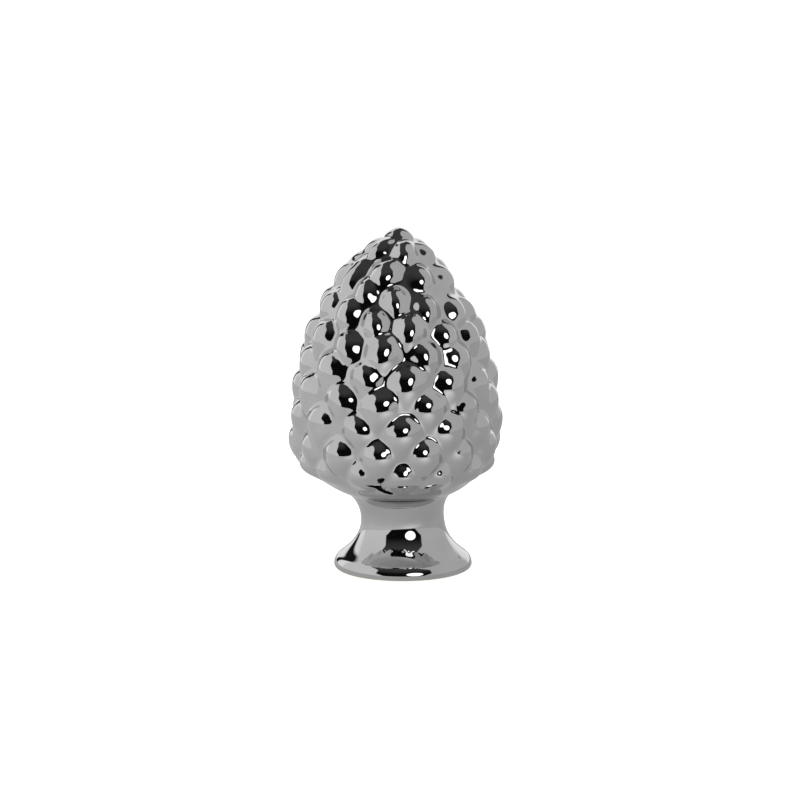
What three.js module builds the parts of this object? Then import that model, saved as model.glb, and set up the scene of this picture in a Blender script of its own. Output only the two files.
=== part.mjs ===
// Pinecone finial: a ceramic pinecone on a flared round foot, cast in one piece.
// Millimetres, +Z up, origin at the centre of the foot's flat underside. The front faces -Y.
import * as THREE from "three";

// Foot: a flat underside, a rounded rim and a flare that rises to the neck. Angles are in degrees
// from upright.
const FOOT_RADIUS = 20;
const FOOT_EDGE_ROUND = 1.2;
const FOOT_RIM_ROUND = 3.6;
const FLARE_SLOPE = 54;
const NECK_RADIUS = 12.1;
const NECK_HEIGHT = 15.2;
const COLLAR_RADIUS = 15.6;
const COLLAR_HEIGHT = 22.6;
const COLLAR_TURN = 65;

// Pinecone: the radius is taken over the scales, and the height over the apex knob
const TOTAL_HEIGHT = 100;
const BULGE_RADIUS = 30.7;
const BULGE_HEIGHT = 43.5;
const APEX_SHARPNESS = 0.72;
const UNDERSIDE_FULLNESS = 0.53;
const SMOOTH_UNDERSIDE = 11;
const SMOOTH_SHARE = 0.25;

// The cone stands to one side of the foot. The shift comes in over a share of the collar's height
// each way from it, and the apex leans part of the way back over the top share of the height.
const CONE_OFFSET = 2.2;
const APEX_OFFSET = 1.2;
const SHIFT_SPREAD = 0.5;
const APEX_LEAN_FROM = 0.8;

// Scales: rounded knobs with an arched top edge and a V-shaped tail, laid in rings that alternate
const SCALE_RELIEF = 3.7;
const TOP_RELIEF_SHARE = 0.8;
const LOW_RELIEF_SHARE = 1.06;
const WEB_RELIEF = 0.8;
const GLAZE_FILLET = 1.3;
const RING_PITCH = 7.5;
const TOP_RING_PITCH = 7.8;
const FIRST_RING = 9.6;
const SCALE_OVERLAP = 1.05;
const APEX_KNOB_RADIUS = 5;
const APEX_KNOB_RELIEF = 2.6;
const HAND_IRREGULARITY = 0.4;
const SIZE_UNEVENNESS = 0.08;
const SCALE_LEAN = 0.12;

// How far a scale reaches up and down from its knob, and its greatest half width, as shares of
// the pitch between rings. Scales change from the top ones over the first rings, and to the low
// ones over the last rings.
const TOP_SCALE = { arch: 0.84, tail: 0.6 };
const MIDDLE_SCALE = { arch: 0.74, tail: 1.3 };
const LOW_SCALE = { arch: 0.86, tail: 1.15 };
const SCALE_BROADEST = 0.92;
const PITCH_RINGS = 3;
const TOP_RINGS = 5;
const LOW_RINGS = 3;

// Carving of one scale: how fast its arch falls, how round its keel is below the knob, and how
// round it is from side to side at the knob and at the tail
const ARCH_POWER = 2.4;
const KEEL_ROUNDNESS = 0.8;
const SIDE_ROUNDNESS = 1.1;
const TAIL_ROUNDNESS = 0.2;

// Rings from the apex down: how many scales each has, where its first one is, in degrees from
// the front towards +X, and how many millimetres the ring dips on that side.
const RINGS = [
  { count: 6, turn: 14, dip: 1 },
  { count: 8, turn: 30, dip: 2 },
  { count: 12, turn: -1, dip: 6 },
  { count: 13, turn: 12, dip: 5 },
  { count: 13, turn: -8, dip: 3 },
  { count: 13, turn: 9, dip: 3 },
  { count: 13, turn: -8, dip: 2 },
  { count: 13, turn: 5, dip: 1 },
  { count: 14, turn: -9, dip: 0 },
  { count: 14, turn: 4, dip: 0 },
];

// Fineness of the surface grid
const COLUMNS = 80;
const ROUND_ROWS = 3;
const FLARE_ROWS = 5;
const NECK_ROWS = 4;
const CONE_ROWS = 47;
const OUTLINE_STEPS = 2000;

const GOLDEN_ANGLE = Math.PI * (3 - Math.sqrt(5));

// Three ways in which the scales differ, each the phase of its own wave
const DRIFT = 0;
const UNEVEN = 2;
const SLIP = 4;

// A repeatable number from -1 to 1 for the n-th scale, so that no two scales are quite alike.
function irregular(n, phase) {
  return Math.sin(n * GOLDEN_ANGLE + phase);
}

function smoothstep(edge0, edge1, x) {
  const t = THREE.MathUtils.clamp((x - edge0) / (edge1 - edge0), 0, 1);
  return t * t * (3 - 2 * t);
}

// The larger of two heights, rounded where they meet as a glaze fills a crease.
function roundedMax(a, b) {
  const gap = Math.max(GLAZE_FILLET - Math.abs(a - b), 0);
  return Math.max(a, b) + (gap * gap) / (4 * GLAZE_FILLET);
}

// Outline of the foot and the neck, from the underside's edge to just below the collar. Its
// lower edge is a quarter circle, and the arc above it turns from upright into the flare's slope.
// From there the flare is a power curve, with the power that makes it leave the arc smoothly.
function footRows() {
  const steepest = THREE.MathUtils.degToRad(FLARE_SLOPE);
  const rows = [];
  for (let i = 0; i <= ROUND_ROWS; i++) {
    const a = (i / ROUND_ROWS - 1) * (Math.PI / 2);
    const inset = FOOT_EDGE_ROUND * (1 - Math.cos(a));
    rows.push(new THREE.Vector2(FOOT_RADIUS - inset, FOOT_EDGE_ROUND * (1 + Math.sin(a))));
  }
  for (let i = 1; i <= ROUND_ROWS; i++) {
    const a = (i / ROUND_ROWS) * steepest;
    const inset = FOOT_RIM_ROUND * (1 - Math.cos(a));
    rows.push(new THREE.Vector2(FOOT_RADIUS - inset, FOOT_EDGE_ROUND + FOOT_RIM_ROUND * Math.sin(a)));
  }
  const rim = rows[rows.length - 1];
  const power = (Math.tan(steepest) * (NECK_HEIGHT - rim.y)) / (rim.x - NECK_RADIUS);
  for (let i = 1; i <= FLARE_ROWS; i++) {
    const q = 1 - i / FLARE_ROWS;
    const r = NECK_RADIUS + (rim.x - NECK_RADIUS) * Math.pow(q, power);
    rows.push(new THREE.Vector2(r, NECK_HEIGHT - (NECK_HEIGHT - rim.y) * q));
  }
  const end = THREE.MathUtils.degToRad(COLLAR_TURN);
  for (let i = 1; i < NECK_ROWS; i++) {
    const a = (i / NECK_ROWS) * end;
    const widening = (1 - Math.cos(a)) / (1 - Math.cos(end));
    const climb = Math.sin(a) / Math.sin(end);
    const r = NECK_RADIUS + (COLLAR_RADIUS - NECK_RADIUS) * widening;
    rows.push(new THREE.Vector2(r, NECK_HEIGHT + (COLLAR_HEIGHT - NECK_HEIGHT) * climb));
  }
  return rows;
}

// The plain pinecone that the web between the scales follows: an egg, blunt below the bulge and
// pointed above it.
const eggRadius = BULGE_RADIUS - SCALE_RELIEF + WEB_RELIEF;
const eggTop = TOTAL_HEIGHT - APEX_KNOB_RELIEF + WEB_RELIEF;
const collarShare = Math.cbrt(1 - Math.pow(COLLAR_RADIUS / eggRadius, 1 / UNDERSIDE_FULLNESS));
const eggDepth = (BULGE_HEIGHT - COLLAR_HEIGHT) / collarShare;

function eggRadiusAt(z) {
  if (z > BULGE_HEIGHT) {
    const t = Math.min(1, (z - BULGE_HEIGHT) / (eggTop - BULGE_HEIGHT));
    return eggRadius * Math.pow(1 - t * t, APEX_SHARPNESS);
  }
  const t = (BULGE_HEIGHT - z) / eggDepth;
  return eggRadius * Math.pow(1 - t * t * t, UNDERSIDE_FULLNESS);
}

// Points of the egg's outline from the collar to the apex, evenly spaced along it, each with
// its outward normal and its distance from the apex along the surface.
function eggOutline(steps) {
  const dense = [];
  for (let i = 0; i <= OUTLINE_STEPS; i++) {
    const swing = Math.sin(((i / OUTLINE_STEPS) * Math.PI) / 2);
    const z = COLLAR_HEIGHT + (eggTop - COLLAR_HEIGHT) * swing;
    dense.push(new THREE.Vector2(eggRadiusAt(z), z));
  }
  const run = [0];
  for (let i = 1; i <= OUTLINE_STEPS; i++) {
    run.push(run[i - 1] + dense[i].distanceTo(dense[i - 1]));
  }
  const length = run[OUTLINE_STEPS];
  const rows = [];
  let k = 0;
  for (let i = 0; i <= steps; i++) {
    const target = (length * i) / steps;
    while (k < OUTLINE_STEPS - 1 && run[k + 1] < target) k++;
    const share = (target - run[k]) / (run[k + 1] - run[k]);
    const point = dense[k].clone().lerp(dense[k + 1], share);
    const along = dense[k + 1].clone().sub(dense[k]).normalize();
    rows.push({ point, normal: new THREE.Vector2(along.y, -along.x), fromApex: length - target });
  }
  return rows;
}

// The plain radius at a distance from the apex, read between two rows of the outline.
function radiusAtRun(outline, run) {
  const below = Math.max(0, outline.findLastIndex((row) => row.fromApex >= run));
  const above = Math.min(outline.length - 1, below + 1);
  const step = outline[below].fromApex - outline[above].fromApex;
  const share = step > 0 ? (outline[below].fromApex - run) / step : 0;
  return THREE.MathUtils.lerp(outline[below].point.x, outline[above].point.x, share);
}

// Every scale: its angle, its distance from the apex, how far it leans, half its width, how far
// its arch reaches up and its tail down, and how far its knob stands out.
function layScales(outline) {
  const { lerp, degToRad } = THREE.MathUtils;
  const scales = [];
  let place = FIRST_RING;
  RINGS.forEach((ring, i) => {
    const grown = Math.min(1, i / PITCH_RINGS);
    const high = Math.max(0, 1 - i / TOP_RINGS);
    const low = Math.max(0, 1 - (RINGS.length - 1 - i) / LOW_RINGS);
    const blend = (key) =>
      MIDDLE_SCALE[key] +
      (TOP_SCALE[key] - MIDDLE_SCALE[key]) * high +
      (LOW_SCALE[key] - MIDDLE_SCALE[key]) * low;
    const pitch = lerp(TOP_RING_PITCH, RING_PITCH, grown);
    const relief = SCALE_RELIEF * lerp(TOP_RELIEF_SHARE, 1, grown) * lerp(1, LOW_RELIEF_SHARE, low);
    const ringRadius = radiusAtRun(outline, place);
    const spacing = (Math.PI * ringRadius * SCALE_OVERLAP) / ring.count;
    for (let j = 0; j < ring.count; j++) {
      const n = scales.length;
      const uneven = irregular(n, UNEVEN);
      const size = 1 + SIZE_UNEVENNESS * uneven;
      const drift = (HAND_IRREGULARITY * irregular(n, DRIFT)) / ringRadius;
      const angle = degToRad(ring.turn) + (2 * Math.PI * j) / ring.count + drift;
      scales.push({
        angle,
        run: place + ring.dip * Math.sin(angle) + HAND_IRREGULARITY * irregular(n, SLIP),
        lean: SCALE_LEAN * uneven,
        halfWidth: Math.min(spacing, SCALE_BROADEST * pitch) * size,
        arch: blend("arch") * pitch * size,
        tail: blend("tail") * pitch * size,
        relief: relief * size,
      });
    }
    place += pitch;
  });
  return scales;
}

// A fall that is 0 at 0 and 1 at 1, rounder at 0 the larger the roundness is.
function hyperbola(x, roundness) {
  return (Math.hypot(x, roundness) - roundness) / (Math.hypot(1, roundness) - roundness);
}

// Height of one scale over the plain pinecone, at a distance up from its knob and to its side.
// Above the knob the keel falls as a power of the share of the arch, and below it as a hyperbola
// down to the tail's tip. The sides are round at the knob and turn into a roof at the tail, so the
// outline is an arch above and a V below. Outside it the height goes on below zero.
function scaleHeight(scale, up, aside) {
  const climb = Math.max(up, 0) / scale.arch;
  const down = Math.max(-up, 0) / scale.tail;
  const keel = 1 - Math.pow(climb, ARCH_POWER) - hyperbola(down, KEEL_ROUNDNESS);
  const toTail = smoothstep(0, 1, down);
  const roundness = THREE.MathUtils.lerp(SIDE_ROUNDNESS, TAIL_ROUNDNESS, toTail);
  return scale.relief * (keel - hyperbola(aside / scale.halfWidth, roundness));
}

// Height over the web at one point: the highest scale there, or the knob at the apex. It fades
// out on the underside, which is smooth near the collar.
function reliefAt(scales, angle, row) {
  const radius = row.point.x;
  let height = WEB_RELIEF;
  for (const scale of scales) {
    const up = scale.run - row.fromApex;
    const turn = angle - scale.angle - (scale.lean * up) / radius;
    const aside = radius * Math.atan2(Math.sin(turn), Math.cos(turn));
    height = roundedMax(height, scaleHeight(scale, up, aside));
  }
  const inside = Math.max(0, 1 - Math.pow(row.fromApex / APEX_KNOB_RADIUS, 2));
  const knob = WEB_RELIEF + (APEX_KNOB_RELIEF - WEB_RELIEF) * Math.sqrt(inside);
  const aboveCollar = row.point.y - COLLAR_HEIGHT;
  const fade = smoothstep(SMOOTH_UNDERSIDE * SMOOTH_SHARE, SMOOTH_UNDERSIDE, aboveCollar);
  return (Math.max(height, knob) - WEB_RELIEF) * fade;
}

// How far the casting stands to the side of the foot's axis at a height.
function offsetAt(z) {
  const away = smoothstep(COLLAR_HEIGHT * (1 - SHIFT_SPREAD), COLLAR_HEIGHT * (1 + SHIFT_SPREAD), z);
  const back = smoothstep(APEX_LEAN_FROM * TOTAL_HEIGHT, TOTAL_HEIGHT, z);
  return -CONE_OFFSET * away + (CONE_OFFSET - APEX_OFFSET) * back;
}

// The closed surface: rings of points around the axis, each turned by half a column from the one
// below it so that the facets lean neither way, and a fan of triangles at each pole.
function pineconeGeometry() {
  const outline = eggOutline(CONE_ROWS);
  const scales = layScales(outline);
  const rings = footRows().map((p) => () => [p.x, p.y]);
  for (const row of outline.slice(0, -1)) {
    rings.push((angle) => {
      const height = reliefAt(scales, angle, row);
      return [row.point.x + row.normal.x * height, row.point.y + row.normal.y * height];
    });
  }
  const positions = [0, 0, 0];
  rings.forEach((ring, i) => {
    for (let j = 0; j < COLUMNS; j++) {
      const angle = (2 * Math.PI * (j + (i % 2) / 2)) / COLUMNS;
      const [r, z] = ring(angle);
      positions.push(offsetAt(z) + r * Math.sin(angle), -r * Math.cos(angle), z);
    }
  });
  positions.push(offsetAt(TOTAL_HEIGHT), 0, TOTAL_HEIGHT);
  const at = (row, column) => 1 + row * COLUMNS + (column % COLUMNS);
  const top = positions.length / 3 - 1;
  const faces = [];
  for (let j = 0; j < COLUMNS; j++) {
    faces.push(0, at(0, j + 1), at(0, j));
    faces.push(top, at(rings.length - 1, j), at(rings.length - 1, j + 1));
    for (let i = 0; i < rings.length - 1; i++) {
      const here = at(i, j);
      const beside = at(i, j + 1);
      const above = at(i + 1, j);
      const aboveBeside = at(i + 1, j + 1);
      if (i % 2 === 0) faces.push(here, beside, above, beside, aboveBeside, above);
      else faces.push(here, beside, aboveBeside, here, aboveBeside, above);
    }
  }
  const geometry = new THREE.BufferGeometry();
  geometry.setAttribute("position", new THREE.Float32BufferAttribute(positions, 3));
  geometry.setIndex(faces);
  geometry.computeVertexNormals();
  return geometry;
}

// Silver lustre fired over a glaze: bright as a mirror, with hardly any colour.
const silverLustre = new THREE.MeshStandardMaterial({
  color: 0xc9cacb,
  roughness: 0.06,
  metalness: 1,
});

const finial = new THREE.Mesh(pineconeGeometry(), silverLustre);
finial.name = "pinecone_finial";

const object = new THREE.Group();
object.add(finial);

export default object;
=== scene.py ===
"""Looks of a ceramic pinecone finial under bright silver lustre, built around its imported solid.

The finial is one casting: a flared foot, a waisted neck, a collar and a cone of rounded scales. Its
surface is a height field over a plain outline turned about the cone's axis. All lengths in the
dataclasses are millimetres; meshes are written in metres.
"""

import logging
import math
from dataclasses import dataclass, field

import bpy
import numpy as np
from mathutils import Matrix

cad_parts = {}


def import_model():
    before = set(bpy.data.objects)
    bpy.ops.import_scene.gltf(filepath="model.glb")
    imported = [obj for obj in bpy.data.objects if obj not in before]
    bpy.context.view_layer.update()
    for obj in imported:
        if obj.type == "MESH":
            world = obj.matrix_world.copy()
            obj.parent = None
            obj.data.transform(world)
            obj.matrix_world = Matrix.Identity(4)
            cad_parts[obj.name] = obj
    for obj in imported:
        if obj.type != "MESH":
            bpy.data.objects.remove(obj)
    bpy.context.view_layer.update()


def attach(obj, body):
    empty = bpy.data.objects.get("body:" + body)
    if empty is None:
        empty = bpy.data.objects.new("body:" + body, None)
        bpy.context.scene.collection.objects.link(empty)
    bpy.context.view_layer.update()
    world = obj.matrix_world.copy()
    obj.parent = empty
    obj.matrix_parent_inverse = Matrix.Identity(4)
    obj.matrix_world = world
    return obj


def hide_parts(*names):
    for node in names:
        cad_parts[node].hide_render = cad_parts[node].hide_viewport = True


LOG = logging.getLogger("finial")
MM = 0.001
IMAGE_SIDE = 800
SENSOR_WIDTH = 36.0
CLIP_START = 0.01
WHITE = "#FFFFFF"
GOLDEN_ANGLE = math.pi * (3.0 - math.sqrt(5.0))


def linear(hex_colour: str) -> tuple[float, float, float, float]:
    """Turn an sRGB hex colour into the linear colour that shaders take.

    Args:
        hex_colour: six hex digits after a hash, such as "#C8C9CB".

    Returns:
        Red, green, blue and an alpha of 1.
    """
    channels = [int(hex_colour[i : i + 2], 16) / 255.0 for i in (1, 3, 5)]
    light = [c / 12.92 if c <= 0.04045 else ((c + 0.055) / 1.055) ** 2.4 for c in channels]
    return light[0], light[1], light[2], 1.0


def smoothstep(low: float, high: float, x: np.ndarray) -> np.ndarray:
    """Return 0 below low, 1 above high, and 3t^2 - 2t^3 between them."""
    t = np.clip((x - low) / (high - low), 0.0, 1.0)
    return t * t * (3.0 - 2.0 * t)


def hyperbola(x: np.ndarray, e: np.ndarray) -> np.ndarray:
    """Return a fall that is 0 at 0 and 1 at 1, rounder at 0 the larger e is."""
    return (np.sqrt(x**2 + e**2) - e) / (np.sqrt(1.0 + e**2) - e)


def add_node(
    tree: bpy.types.NodeTree, kind: str, inputs: dict | None = None, **settings: object
) -> bpy.types.Node:
    """Add one node, with its settings, its constant inputs and its links.

    Args:
        tree: the node tree that takes it.
        kind: the node's Blender type name.
        inputs: socket name or number to a constant, or to the output socket that feeds it.
        **settings: the node's own properties.

    Returns:
        The new node.
    """
    node = tree.nodes.new(kind)
    for name, value in settings.items():
        setattr(node, name, value)
    for key, value in (inputs or {}).items():
        if isinstance(value, bpy.types.NodeSocket):
            tree.links.new(value, node.inputs[key])
        else:
            node.inputs[key].default_value = value
    return node


def fade(
    tree: bpy.types.NodeTree,
    value: bpy.types.NodeSocket,
    span: tuple[object, object],
    levels: tuple[float, float] = (0.0, 1.0),
    kind: str = "LINEAR",
) -> bpy.types.NodeSocket:
    """Add a level that goes from the first to the second of two levels over a span of a value.

    Args:
        tree: the node tree that takes it.
        value: the output socket that is read.
        span: where the level starts and ends, as constants or output sockets.
        levels: the level before and after the span.
        kind: "LINEAR" or "SMOOTHSTEP".

    Returns:
        The output socket of the level.
    """
    ends = {"From Min": span[0], "From Max": span[1], "To Min": levels[0], "To Max": levels[1]}
    node = add_node(
        tree, "ShaderNodeMapRange", {"Value": value, **ends}, interpolation_type=kind
    )
    return node.outputs["Result"]


def maths(
    tree: bpy.types.NodeTree, operation: str, a: object, b: object = 0.0
) -> bpy.types.NodeSocket:
    """Add a calculation with one or two values, and return its output socket."""
    return add_node(tree, "ShaderNodeMath", {0: a, 1: b}, operation=operation).outputs[0]


def mixed(
    tree: bpy.types.NodeTree, mask: object, below: object, above: object, kind: str = "FLOAT"
) -> bpy.types.NodeSocket:
    """Lay one level or colour over another where a mask is 1, and return the output socket."""
    inputs = {"Factor": mask, "A": below, "B": above}
    return add_node(tree, "ShaderNodeMix", inputs, data_type=kind).outputs["Result"]


def distance(
    tree: bpy.types.NodeTree, place: bpy.types.NodeSocket, spot: tuple[float, float, float]
) -> bpy.types.NodeSocket:
    """Add the distance of a place from a fixed spot, and return its output socket."""
    inputs = {0: place, 1: spot}
    return add_node(tree, "ShaderNodeVectorMath", inputs, operation="DISTANCE").outputs["Value"]


@dataclass(frozen=True)
class SilverLustre:
    """Silver lustre: a film of metal fired over a glazed ceramic body.

    The glaze under it is smooth, so it mirrors the room sharply. The film is a little uneven, which
    shows as faint waves and a slightly varying brightness. Here and there a pinhole in the glaze
    shows as a dark speck. The underside is bare, chalky bisque, as it stood on the kiln shelf.
    """

    film: str = "#D6D6D6"
    film_thin: str = "#C4C4C4"
    pinhole: str = "#5A5855"
    bisque: str = "#CFC6B8"
    roughness: float = 0.035
    bisque_roughness: float = 0.9
    wave_width: float = 7.0
    wave_depth: float = 0.012
    wave_detail: float = 1.0
    wave_roughness: float = 0.4
    pinhole_spacing: float = 5.0
    pinhole_radius: float = 0.16
    pinhole_share: float = 0.3
    bare_height: float = 0.25

    def material(self) -> bpy.types.Material:
        """Build the node material, with its patterns in Object coordinates."""
        made = bpy.data.materials.new("silver_lustre_over_glaze")
        made.use_nodes = True
        tree = made.node_tree
        tree.nodes.clear()
        place = add_node(tree, "ShaderNodeTexCoord").outputs["Object"]
        height = add_node(tree, "ShaderNodeSeparateXYZ", {"Vector": place}).outputs["Z"]
        bare_top = self.bare_height * MM
        underside = fade(tree, height, (bare_top, bare_top / 2.0))
        bare = add_node(
            tree,
            "ShaderNodeBsdfPrincipled",
            {"Base Color": linear(self.bisque), "Roughness": self.bisque_roughness},
        )
        layers = {0: underside, 1: self.lustre(tree, place), 2: bare.outputs["BSDF"]}
        shader = add_node(tree, "ShaderNodeMixShader", layers)
        add_node(tree, "ShaderNodeOutputMaterial", {"Surface": shader.outputs[0]})
        return made

    def lustre(
        self, tree: bpy.types.NodeTree, place: bpy.types.NodeSocket
    ) -> bpy.types.NodeSocket:
        """Add the bright film, with its waves and its pinholes.

        Args:
            tree: the node tree that takes it.
            place: the Object coordinates.

        Returns:
            The output socket of its shader.
        """
        waves = add_node(
            tree,
            "ShaderNodeTexNoise",
            {
                "Vector": place,
                "Scale": 1.0 / (self.wave_width * MM),
                "Detail": self.wave_detail,
                "Roughness": self.wave_roughness,
            },
        ).outputs["Fac"]
        film = mixed(tree, waves, linear(self.film), linear(self.film_thin), "RGBA")
        holes = self.pinholes(tree, place)
        bump = add_node(
            tree,
            "ShaderNodeBump",
            {"Height": waves, "Strength": 1.0, "Distance": self.wave_depth * MM},
        )
        shader = add_node(
            tree,
            "ShaderNodeBsdfPrincipled",
            {
                "Base Color": mixed(tree, holes, film, linear(self.pinhole), "RGBA"),
                "Metallic": 1.0,
                "Roughness": self.roughness,
                "Normal": bump.outputs["Normal"],
            },
        )
        return shader.outputs["BSDF"]

    def pinholes(
        self, tree: bpy.types.NodeTree, place: bpy.types.NodeSocket
    ) -> bpy.types.NodeSocket:
        """Add a mask that is 1 in a pinhole.

        Space is cut into cells, and a share of the cells have a hole at their middle.

        Args:
            tree: the node tree that takes it.
            place: the Object coordinates.

        Returns:
            The output socket of the mask.
        """
        cells = add_node(
            tree,
            "ShaderNodeTexVoronoi",
            {"Vector": place, "Scale": 1.0 / (self.pinhole_spacing * MM)},
        )
        near = self.pinhole_radius / self.pinhole_spacing
        speck = fade(tree, cells.outputs["Distance"], (near, near / 2.0))
        chosen = maths(tree, "LESS_THAN", cells.outputs["Color"], self.pinhole_share)
        return maths(tree, "MULTIPLY", speck, chosen)


@dataclass
class Foot:
    """Flared round foot with a rounded rim, and the neck that rises from it to the collar."""

    radius: float = 20.0
    edge_round: float = 1.2
    rim_round: float = 3.6
    neck_radius: float = 12.1
    neck_height: float = 15.2
    neck_turn: float = 65.0
    flare_slope: float = 54.0
    rim_rows: int = 10
    flare_rows: int = 30
    neck_rows: int = 16

    def outline(self, collar_radius: float, collar_height: float) -> np.ndarray:
        """Return the outline from the underside's edge to just below the collar.

        The lower edge is a quarter circle. The rim's upper edge is an arc that turns from upright
        into the slope of the flare. The flare is r = neck + width q^power, where q falls from 1 to
        0 up to the neck, and the power is tan(slope) height / width, so it leaves the arc smoothly.
        The neck widens to the collar as an elliptic arc that ends sloping.

        Args:
            collar_radius: radius where the neck ends.
            collar_height: height where the neck ends.

        Returns:
            Rows of (radius, height).
        """
        edge = np.linspace(-math.pi / 2, 0.0, self.rim_rows)
        lower = self.edge_round * np.stack([np.cos(edge) - 1.0, np.sin(edge) + 1.0], 1)
        lower += [self.radius, 0.0]
        steep = math.radians(self.flare_slope)
        turn = np.linspace(0.0, steep, self.rim_rows)[1:]
        upper = self.rim_round * np.stack([np.cos(turn) - 1.0, np.sin(turn)], 1) + lower[-1]
        q = 1.0 - np.arange(1, self.flare_rows + 1) / self.flare_rows
        width, height = upper[-1, 0] - self.neck_radius, self.neck_height - upper[-1, 1]
        flare_radius = self.neck_radius + width * q ** (math.tan(steep) * height / width)
        flare_height = self.neck_height - height * q
        end = math.radians(self.neck_turn)
        a = np.arange(1, self.neck_rows) / self.neck_rows * end
        widening = (1.0 - np.cos(a)) / (1.0 - math.cos(end))
        neck_radius = self.neck_radius + (collar_radius - self.neck_radius) * widening
        neck_rise = (collar_height - self.neck_height) * np.sin(a) / math.sin(end)
        flare = np.stack([flare_radius, flare_height], 1)
        neck = np.stack([neck_radius, self.neck_height + neck_rise], 1)
        return np.concatenate([lower, upper, flare, neck])


@dataclass(frozen=True)
class Ring:
    """One ring of scales: how many, where the first one is, in degrees from the front, and how
    far the ring dips towards +X, in millimetres along the surface."""

    count: int
    turn: float
    dip: float = 0.0


@dataclass(frozen=True)
class ScaleShape:
    """How far a scale reaches up and down from its knob, as shares of the pitch between rings."""

    arch: float
    tail: float


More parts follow.
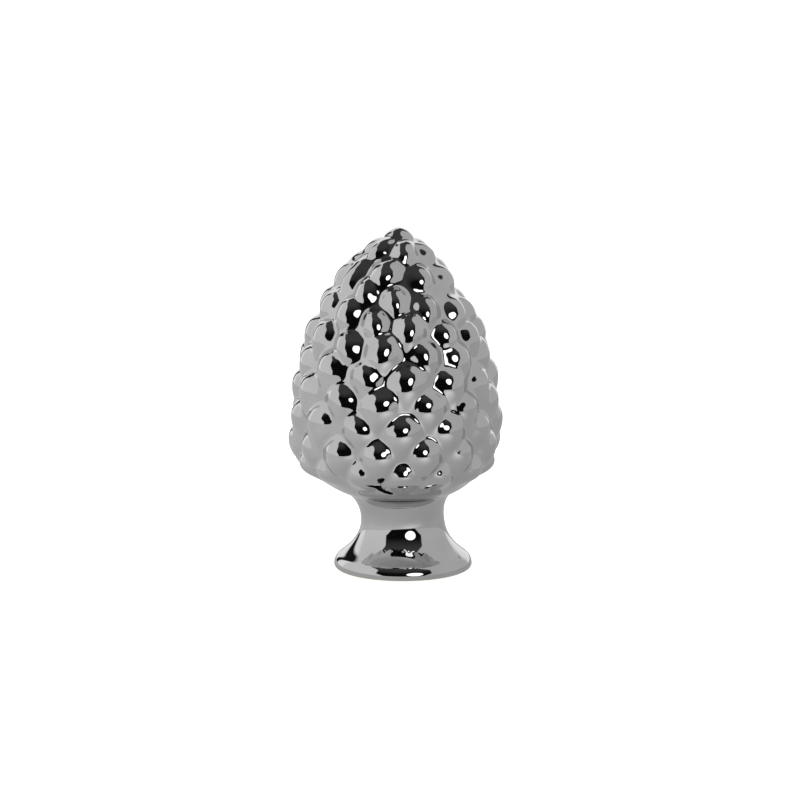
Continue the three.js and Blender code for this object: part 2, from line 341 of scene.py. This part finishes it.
@dataclass
class Scales:
    """The knobbed scales, laid in rings from the apex down, and the knob at the apex.

    Every scale drifts sideways, differs in size and slips a little. Each of these is a wave with
    its own phase.
    """

    relief: float = 3.7
    web: float = 0.8
    fillet: float = 1.3
    pitch: float = 7.5
    top_pitch: float = 7.8
    pitch_rings: float = 3.0
    first_run: float = 9.6
    overlap: float = 1.05
    broadest: float = 0.92
    top: ScaleShape = ScaleShape(0.84, 0.6)
    middle: ScaleShape = ScaleShape(0.74, 1.3)
    low: ScaleShape = ScaleShape(0.86, 1.15)
    top_rings: float = 5.0
    low_rings: float = 3.0
    top_relief: float = 0.8
    low_relief: float = 1.06
    arch_power: float = 2.4
    keel_round: float = 0.8
    side_round: float = 1.1
    tail_round: float = 0.2
    lean: float = 0.12
    depth: float = 1.5
    knob_radius: float = 5.0
    knob_relief: float = 2.6
    irregularity: float = 0.4
    unevenness: float = 0.08
    phases: tuple[float, float, float] = (0.0, 2.0, 4.0)
    rings: tuple[Ring, ...] = (
        Ring(6, 14, 1.0),
        Ring(8, 30, 2.0),
        Ring(12, -1, 6.0),
        Ring(13, 12, 5.0),
        Ring(13, -8, 3.0),
        Ring(13, 9, 3.0),
        Ring(13, -8, 2.0),
        Ring(13, 5, 1.0),
        Ring(14, -9),
        Ring(14, 4),
    )

    def heights(self, angle: np.ndarray, radius: np.ndarray, run: np.ndarray) -> np.ndarray:
        """Return the height of the scales over the plain cone.

        The highest scale at a point wins, and where two meet the crease is rounded by the glaze:
        max(a, b) plus (fillet - |a - b|)^2 over four fillets, where that bracket is positive. The
        apex knob is half an ellipse, knob_relief high.

        Args:
            angle: angle of each grid column from the front.
            radius: plain radius of each grid row.
            run: distance of each grid row from the apex, along the surface.

        Returns:
            Heights, a row for each grid row.
        """
        height = np.full((run.size, angle.size), self.web)
        number = 0
        place = self.first_run
        for i, ring in enumerate(self.rings):
            pitch, relief, shape = self.ring_shape(i)
            ring_radius = float(np.interp(place, run[::-1], radius[::-1]))
            spacing = math.pi * ring_radius * self.overlap / ring.count
            half_width = min(spacing, self.broadest * pitch)
            for j in range(ring.count):
                drift, uneven, slip = (math.sin(number * GOLDEN_ANGLE + k) for k in self.phases)
                centre = math.radians(ring.turn) + 2.0 * math.pi * j / ring.count
                centre += self.irregularity * drift / ring_radius
                middle = place + ring.dip * math.sin(centre) + self.irregularity * slip
                size = 1.0 + self.unevenness * uneven
                up = middle - run
                centres = centre + self.lean * uneven * up / radius
                turn = (angle[None, :] - centres[:, None] + math.pi) % (2.0 * math.pi) - math.pi
                across = radius[:, None] * turn / (half_width * size)
                reach = (shape.arch * pitch * size, shape.tail * pitch * size)
                bump = relief * size * self.one(up, across, reach)
                gap = np.clip(self.fillet - np.abs(height - bump), 0.0, None)
                height = np.maximum(height, bump) + gap * gap / (4.0 * self.fillet)
                number += 1
            place += pitch
        knob = np.sqrt(np.clip(1.0 - (run / self.knob_radius) ** 2, 0.0, None))
        knob = self.web + (self.knob_relief - self.web) * knob
        return np.maximum(height, knob[:, None])

    def ring_shape(self, i: int) -> tuple[float, float, ScaleShape]:
        """Work out the size and shape that the scales of one ring share.

        They change from the top scales' over the first rings, and to the low scales' over the last.

        Args:
            i: the ring's number, from the apex down.

        Returns:
            The distance to the next ring, the relief and the shape.
        """
        grown = min(1.0, i / self.pitch_rings)
        high = max(0.0, 1.0 - i / self.top_rings)
        low = max(0.0, 1.0 - (len(self.rings) - 1 - i) / self.low_rings)
        pitch = self.top_pitch + (self.pitch - self.top_pitch) * grown
        relief = self.relief * (self.top_relief + (1.0 - self.top_relief) * grown)
        relief *= 1.0 + (self.low_relief - 1.0) * low
        arch = self.middle.arch + (self.top.arch - self.middle.arch) * high
        arch += (self.low.arch - self.middle.arch) * low
        tail = self.middle.tail + (self.top.tail - self.middle.tail) * high
        tail += (self.low.tail - self.middle.tail) * low
        return pitch, relief, ScaleShape(arch, tail)

    def one(self, up: np.ndarray, across: np.ndarray, reach: tuple[float, float]) -> np.ndarray:
        """Return the height of one scale on the grid, as a share of its relief.

        Above the knob the keel falls as a power of the share of the arch. Below it the keel is a
        hyperbola, (sqrt(t^2 + e^2) - e), down to the tip of the tail. Sideways the height falls by
        another, round at the knob and turning into a roof at the tail, so the outline is an arch
        above and a V below. Outside its outline the scale goes on downwards.

        Args:
            up: distance of each grid row from the knob, towards the apex.
            across: distance of each point from the keel, over the half width.
            reach: length of the arch and of the tail.

        Returns:
            1 at the knob, 0 at the outline and less outside it.
        """
        climb = np.clip(up, 0.0, None) / reach[0]
        down = np.clip(-up, 0.0, None) / reach[1]
        keel = 1.0 - climb**self.arch_power - hyperbola(down, np.array(self.keel_round))
        to_tail = smoothstep(0.0, 1.0, down)
        roundness = self.side_round + (self.tail_round - self.side_round) * to_tail
        return np.clip(keel[:, None] - hyperbola(across, roundness[:, None]), -self.depth, None)


@dataclass
class Cone:
    """The plain pinecone that carries the scales."""

    bulge_radius: float = 30.7
    bulge_height: float = 43.5
    apex_sharpness: float = 0.72
    underside_fullness: float = 0.53
    collar_radius: float = 15.6
    collar_height: float = 22.6
    offset: float = 2.2
    apex_offset: float = 1.2
    shift_spread: float = 0.5
    apex_lean_from: float = 0.8
    smooth_underside: float = 11.0
    smooth_share: float = 0.25
    rows: int = 190
    steps: int = 4000

    def outline(self, top: float, radius: float) -> tuple[np.ndarray, np.ndarray]:
        """Return the egg's outline from the collar to the apex, evenly spaced along it.

        Above the bulge r = R (1 - t^2)^sharpness, and below it r = R (1 - t^3)^fullness, where t
        is the share of the way to the apex or to the end of the underside.

        Args:
            top: height of the plain cone's apex.
            radius: the plain cone's greatest radius.

        Returns:
            Rows of (radius, height), and each row's distance from the apex along the surface.
        """
        narrowed = (self.collar_radius / radius) ** (1.0 / self.underside_fullness)
        share = (1.0 - narrowed) ** (1.0 / 3.0)
        depth = (self.bulge_height - self.collar_height) / share
        swing = np.sin(np.linspace(0, math.pi / 2, self.steps + 1))
        z = self.collar_height + (top - self.collar_height) * swing
        up = np.clip((z - self.bulge_height) / (top - self.bulge_height), 0.0, 1.0)
        down = np.clip((self.bulge_height - z) / depth, 0.0, 1.0)
        above = (1.0 - up**2) ** self.apex_sharpness
        below = (1.0 - down**3) ** self.underside_fullness
        r = radius * above * below
        along = np.concatenate([[0.0], np.cumsum(np.hypot(np.diff(r), np.diff(z)))])
        stops = np.linspace(0.0, along[-1], self.rows + 1)
        points = np.stack([np.interp(stops, along, r), np.interp(stops, along, z)], axis=1)
        return points, along[-1] - stops

    def shift(self, z: np.ndarray, top: float) -> np.ndarray:
        """Return how far the casting stands to the side of the foot's axis at each height."""
        low, high = (self.collar_height * (1.0 + k * self.shift_spread) for k in (-1.0, 1.0))
        away = -self.offset * smoothstep(low, high, z)
        back = (self.offset - self.apex_offset) * smoothstep(self.apex_lean_from * top, top, z)
        return away + back


@dataclass
class PineconeFinial:
    """The whole casting as one closed piece."""

    node: str = "pinecone_finial"
    name: str = "pinecone_finial_lustred"
    slot: str = "silver_lustre"
    height: float = 100.0
    pole_radius: float = 0.001
    columns: int = 384
    foot: Foot = field(default_factory=Foot)
    cone: Cone = field(default_factory=Cone)
    scales: Scales = field(default_factory=Scales)

    def surface(self) -> np.ndarray:
        """Work out the grid of points.

        Each row of the outline is turned about the axis, and its points are moved along the
        outline's normal by the height of the scales. The top row stands just off the axis, so no
        radius is zero.

        Returns:
            Points, an array of rows by columns by 3, in millimetres.
        """
        angle = np.arange(self.columns) * 2.0 * math.pi / self.columns
        low = self.foot.outline(self.cone.collar_radius, self.cone.collar_height)
        egg, run = self.cone.outline(
            self.height - self.scales.knob_relief + self.scales.web,
            self.cone.bulge_radius - self.scales.relief + self.scales.web,
        )
        egg[-1, 0] = self.pole_radius
        tangent = np.gradient(egg, axis=0)
        tangent /= np.linalg.norm(tangent, axis=1, keepdims=True)
        relief = self.scales.heights(angle, egg[:, 0], run) - self.scales.web
        bare = self.cone.smooth_underside
        above_collar = egg[:, 1] - self.cone.collar_height
        relief *= smoothstep(bare * self.cone.smooth_share, bare, above_collar)[:, None]
        cone_r = egg[:, :1] + tangent[:, 1:] * relief
        cone_z = egg[:, 1:] - tangent[:, :1] * relief
        r = np.concatenate([np.repeat(low[:, :1], self.columns, 1), cone_r])
        z = np.concatenate([np.repeat(low[:, 1:], self.columns, 1), cone_z])
        x = r * np.sin(angle) + self.cone.shift(z, self.height)
        return np.stack([x, -r * np.cos(angle), z], axis=2)[:-1]

    def build(self) -> bpy.types.Object:
        """Make the closed mesh: the grid, with a fan of triangles at each pole."""
        grid = self.surface()
        rows, columns = grid.shape[:2]
        apex = [float(self.cone.shift(np.array([self.height]), self.height)[0]), 0.0, self.height]
        points = np.concatenate([[[0.0, 0.0, 0.0]], grid.reshape(-1, 3), [apex]])
        i, j = np.meshgrid(np.arange(rows - 1), np.arange(columns), indexing="ij")
        here, beside = 1 + i * columns + j, 1 + i * columns + (j + 1) % columns
        quads = np.stack([here, beside, beside + columns, here + columns], axis=2).reshape(-1, 4)
        turn = np.arange(columns)
        low_fan = np.stack([np.zeros_like(turn), 1 + (turn + 1) % columns, 1 + turn], axis=1)
        above = 1 + (rows - 1) * columns
        tip = np.full_like(turn, len(points) - 1)
        high_fan = np.stack([tip, above + turn, above + (turn + 1) % columns], axis=1)
        faces = [*quads.tolist(), *low_fan.tolist(), *high_fan.tolist()]
        mesh = bpy.data.meshes.new(self.node + "_surface")
        mesh.from_pydata((points * MM).tolist(), [], faces)
        mesh.shade_smooth()
        piece = bpy.data.objects.new(self.name, mesh)
        bpy.context.collection.objects.link(piece)
        return piece

    def dress(self, piece: bpy.types.Object, finish: SilverLustre) -> None:
        """Give the piece its finish, and tie it to the body and the node that it stands for."""
        piece.data.materials.append(finish.material())
        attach(piece, "root")
        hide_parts(self.node)
        LOG.info("%s: %d faces", piece.name, len(piece.data.polygons))


@dataclass(frozen=True)
class Gap:
    """The dark opening in front of the tent, in unit-vector coordinates of a direction.

    Its half width is a share of the level part of the direction, with a little more low down and
    less behind. Overhead its middle moves to the left, and its black turns to a dark grey.
    """

    half_width: float = 0.55
    wider_low: float = 0.2
    low_span: tuple[float, float] = (-0.05, 0.25)
    behind_share: float = 0.7
    behind_span: tuple[float, float] = (0.0, 0.4)
    centre: float = 0.02
    overhead_centre: float = -0.12
    overhead_span: tuple[float, float] = (0.7, 0.95)
    low_level: float = 0.004
    high_level: float = 0.055
    level_span: tuple[float, float] = (0.4, 0.85)
    edge: float = 0.025


@dataclass(frozen=True)
class Lamp:
    """A small round lamp seen in the dark opening, in degrees from the front and above it."""

    azimuth: float = 20.0
    elevation: float = 16.0
    radius: float = 13.5
    soft_edge: float = 1.5
    level: float = 2.4

    def direction(self) -> tuple[float, float, float]:
        """Return the unit vector towards the lamp."""
        a, e = math.radians(self.azimuth), math.radians(self.elevation)
        return math.sin(a) * math.cos(e), -math.cos(a) * math.cos(e), math.sin(e)

    def edge(self) -> tuple[float, float]:
        """Return the cosines of the angles at which its soft edge starts and ends."""
        outer = math.radians(self.radius + self.soft_edge / 2.0)
        inner = math.radians(self.radius - self.soft_edge / 2.0)
        return math.cos(outer), math.cos(inner)


@dataclass
class LightTent:
    """The room as the lustre mirrors it: pale side walls, a dark gap in front that narrows
    overhead, a white back wall with a dark slit on the left, and one small round lamp.

    Directions are unit vectors (x, y, z). A region is a product of soft steps of their
    coordinates, and regions are laid over each other from the walls to the lamp.
    """

    left_wall: float = 0.77
    right_wall: float = 0.56
    back_wall: float = 1.0
    backdrop: float = 1.16
    left_rear: tuple[float, float] = (0.45, 0.55)
    right_rear: tuple[float, float] = (0.72, 0.82)
    back_top: tuple[float, float] = (0.8, 0.7)
    slit_left: tuple[float, float] = (-0.625, -0.575)
    slit_right: tuple[float, float] = (-0.415, -0.465)
    slit_level: float = 0.01
    soft: float = 0.05
    gap: Gap = Gap()
    lamp: Lamp = Lamp()

    def build(self) -> None:
        """Make the world. Only mirrored rays see the room; the camera sees a white backdrop."""
        world = bpy.data.worlds.new("light_tent")
        bpy.context.scene.world = world
        world.use_nodes = True
        tree = world.node_tree
        tree.nodes.clear()
        way = add_node(tree, "ShaderNodeTexCoord").outputs["Generated"]
        seen = add_node(tree, "ShaderNodeLightPath")
        mirrored = add_node(
            tree, "ShaderNodeBackground", {"Color": self.room(tree, way), "Strength": 1.0}
        )
        plain = add_node(
            tree, "ShaderNodeBackground", {"Color": linear(WHITE), "Strength": self.backdrop}
        )
        sides = {0: seen.outputs["Is Glossy Ray"], 1: plain.outputs[0], 2: mirrored.outputs[0]}
        shader = add_node(tree, "ShaderNodeMixShader", sides)
        add_node(tree, "ShaderNodeOutputWorld", {"Surface": shader.outputs[0]})

    def room(self, tree: bpy.types.NodeTree, way: bpy.types.NodeSocket) -> bpy.types.NodeSocket:
        """Add the brightness of the room in a direction.

        Args:
            tree: the node tree that takes it.
            way: the direction.

        Returns:
            The output socket of the brightness.
        """
        axes = add_node(tree, "ShaderNodeSeparateXYZ", {"Vector": way})
        x, y, z = (axes.outputs[k] for k in "XYZ")
        to_right = fade(tree, x, (-self.soft, self.soft))
        room = mixed(tree, to_right, self.left_wall, self.right_wall)
        dark = fade(tree, z, self.gap.level_span, (self.gap.low_level, self.gap.high_level))
        room = mixed(tree, self.opening(tree, (x, y, z)), room, dark)
        starts, ends = (
            mixed(tree, to_right, left, right)
            for left, right in zip(self.left_rear, self.right_rear)
        )
        rear = fade(tree, y, (starts, ends))
        back = maths(tree, "MULTIPLY", rear, fade(tree, z, self.back_top))
        room = mixed(tree, back, room, self.back_wall)
        slit = maths(
            tree, "MULTIPLY", fade(tree, x, self.slit_left), fade(tree, x, self.slit_right)
        )
        room = mixed(tree, maths(tree, "MULTIPLY", slit, rear), room, self.slit_level)
        inputs = {0: way, 1: self.lamp.direction()}
        towards = add_node(tree, "ShaderNodeVectorMath", inputs, operation="DOT_PRODUCT")
        lamp = fade(tree, towards.outputs["Value"], self.lamp.edge())
        return mixed(tree, lamp, room, self.lamp.level)

    def opening(
        self, tree: bpy.types.NodeTree, axes: tuple[bpy.types.NodeSocket, ...]
    ) -> bpy.types.NodeSocket:
        """Add a mask that is 1 in the dark opening.

        Args:
            tree: the node tree that takes it.
            axes: output sockets of the direction's x, y and z.

        Returns:
            The output socket of the mask.
        """
        x, y, z = axes
        gap = self.gap
        rest = maths(tree, "SUBTRACT", 1.0, maths(tree, "MULTIPLY", z, z))
        level = maths(tree, "SQRT", maths(tree, "MAXIMUM", rest, 0.0))
        low_part = fade(tree, z, gap.low_span, (0.0, gap.wider_low))
        half = maths(tree, "ADD", maths(tree, "MULTIPLY", level, gap.half_width), low_part)
        share = fade(tree, y, gap.behind_span, (1.0, gap.behind_share))
        half = maths(tree, "MULTIPLY", half, share)
        centre = fade(tree, z, gap.overhead_span, (gap.centre, gap.overhead_centre))
        aside = maths(tree, "ABSOLUTE", maths(tree, "SUBTRACT", x, centre))
        return fade(tree, maths(tree, "SUBTRACT", half, aside), (0.0, gap.edge))


def sheet(name: str, corners: list, material: bpy.types.Material) -> bpy.types.Object:
    """Lay a flat four-cornered sheet as part of the stage.

    Args:
        name: the object's name.
        corners: its corners in metres.
        material: what it is made of.

    Returns:
        The new object.
    """
    mesh = bpy.data.meshes.new(name)
    mesh.from_pydata(corners, [], [(0, 1, 2, 3)])
    mesh.materials.append(material)
    laid = bpy.data.objects.new(name, mesh)
    bpy.context.collection.objects.link(laid)
    return laid


@dataclass
class Studio:
    """A white floor, the table top that the lustre mirrors, and the camera."""

    camera_distance: float = 1500.0
    camera_elevation: float = 11.5
    pixels_per_mm: float = 3.46
    aim: tuple[float, float, float] = (0.0, 0.0, 50.0)
    aim_pixel: tuple[float, float] = (403.0, 397.7)
    floor_side: float = 4000.0
    floor_colour: str = "#F4F4F4"
    floor_roughness: float = 0.9
    floor_glow: float = 0.55
    floor_drop: float = 0.05
    table_front: float = 230.0
    table_rear: float = 1240.0
    table_side: float = 620.0
    table_drop: float = 0.1
    # Painted light and shade on the mirrored table: lighter on the left, darker on the right.
    painted_light_left: float = 0.63
    painted_shade_right: float = 0.47
    table_blend: float = 90.0
    # Painted shade: the mirrored table is darker near the foot.
    painted_shade_share: float = 0.86
    painted_shade_range: tuple[float, float] = (20.0, 110.0)
    # Painted light: a soft pool of light on the mirrored table, where the lamp's light would fall.
    painted_pool_place: tuple[float, float, float] = (52.0, -150.0, 0.0)
    painted_pool_radius: float = 110.0
    painted_pool_level: float = 0.4

    def camera(self) -> None:
        """Place the camera so that the aim point falls on its pixel of the square image."""
        e = math.radians(self.camera_elevation)
        right = (self.aim_pixel[0] - IMAGE_SIDE / 2) / self.pixels_per_mm
        down = (self.aim_pixel[1] - IMAGE_SIDE / 2) / self.pixels_per_mm
        centre = np.array(self.aim) - right * np.array([1.0, 0.0, 0.0])
        centre += down * np.array([0.0, math.sin(e), math.cos(e)])
        place = centre + self.camera_distance * np.array([0.0, -math.cos(e), math.sin(e)])
        data = bpy.data.cameras.new("camera")
        data.sensor_width = SENSOR_WIDTH
        data.lens = self.pixels_per_mm * self.camera_distance * SENSOR_WIDTH / IMAGE_SIDE
        data.clip_start = CLIP_START
        camera = bpy.data.objects.new("camera", data)
        camera.location = place * MM
        camera.rotation_euler = (math.pi / 2 - e, 0.0, 0.0)
        bpy.context.collection.objects.link(camera)
        bpy.context.scene.camera = camera
        bpy.context.scene.view_settings.view_transform = "Standard"

    def floor(self) -> None:
        """Lay the white floor. It glows a little, as a translucent sheet lit from below does, so
        the shadow at the foot stays faint. The lustre sees the table instead."""
        half = self.floor_side * MM / 2
        made = bpy.data.materials.new("lit_white_sheet")
        made.use_nodes = True
        shader = made.node_tree.nodes["Principled BSDF"]
        shader.inputs["Base Color"].default_value = linear(self.floor_colour)
        shader.inputs["Roughness"].default_value = self.floor_roughness
        shader.inputs["Emission Color"].default_value = linear(self.floor_colour)
        shader.inputs["Emission Strength"].default_value = self.floor_glow
        corners = [(-half, -half, 0), (half, -half, 0), (half, half, 0), (-half, half, 0)]
        floor = sheet("floor", corners, made)
        floor.visible_glossy = False
        floor.location.z = -self.floor_drop * MM

    def mirrored_table(self) -> None:
        """Lay the grey table top that only the lustre sees. It is a glowing sheet, not a lit one,
        with painted shade to the right and near the foot, and a soft painted pool of light where
        the lamp's light would fall.

        Its front edge is near, so the dark room beyond it starts below the horizon.
        """
        side, front, rear = (k * MM for k in (self.table_side, self.table_front, self.table_rear))
        made = bpy.data.materials.new("table_glowing_with_painted_light_and_shade")
        made.use_nodes = True
        tree = made.node_tree
        tree.nodes.clear()
        place = add_node(tree, "ShaderNodeTexCoord").outputs["Object"]
        x = add_node(tree, "ShaderNodeSeparateXYZ", {"Vector": place}).outputs["X"]
        blend = self.table_blend * MM
        # Painted light and shade: the table's tone goes from lighter on the left to darker on the
        # right.
        painted_side_tones = (self.painted_light_left, self.painted_shade_right)
        across = fade(tree, x, (-blend, blend), painted_side_tones, "SMOOTHSTEP")
        # Painted shade: the table darkens towards the foot, standing in for the finial's shadow.
        near, far = (limit * MM for limit in self.painted_shade_range)
        away = distance(tree, place, (0.0, 0.0, 0.0))
        painted_foot_shade = fade(tree, away, (near, far), (self.painted_shade_share, 1.0), "SMOOTHSTEP")
        # Painted light: a soft bright pool is added where the lamp's light would fall on the table.
        spot = tuple(k * MM for k in self.painted_pool_place)
        apart = distance(tree, place, spot)
        ends = (0.0, self.painted_pool_radius * MM)
        pool = fade(tree, apart, ends, (self.painted_pool_level, 0.0), "SMOOTHSTEP")
        level = maths(tree, "ADD", maths(tree, "MULTIPLY", across, painted_foot_shade), pool)
        # The sheet glows with these painted tones; no light falls on it.
        glow = add_node(tree, "ShaderNodeEmission", {"Color": level})
        add_node(tree, "ShaderNodeOutputMaterial", {"Surface": glow.outputs[0]})
        corners = [(-side, -front, 0), (side, -front, 0), (side, rear, 0), (-side, rear, 0)]
        table = sheet("table_in_the_lustre", corners, made)
        table.visible_camera = False
        table.visible_diffuse = False
        table.visible_shadow = False
        table.location.z = -self.table_drop * MM


def main() -> None:
    """Build the studio and the finial.
    """
    studio = Studio()
    studio.camera()
    studio.floor()
    studio.mirrored_table()
    LightTent().build()
    LOG.info("studio ready")
    finial = PineconeFinial()
    finial.dress(finial.build(), SilverLustre())


if __name__ == "__main__":
    logging.basicConfig(level=logging.INFO, format="%(message)s")
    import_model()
    main()
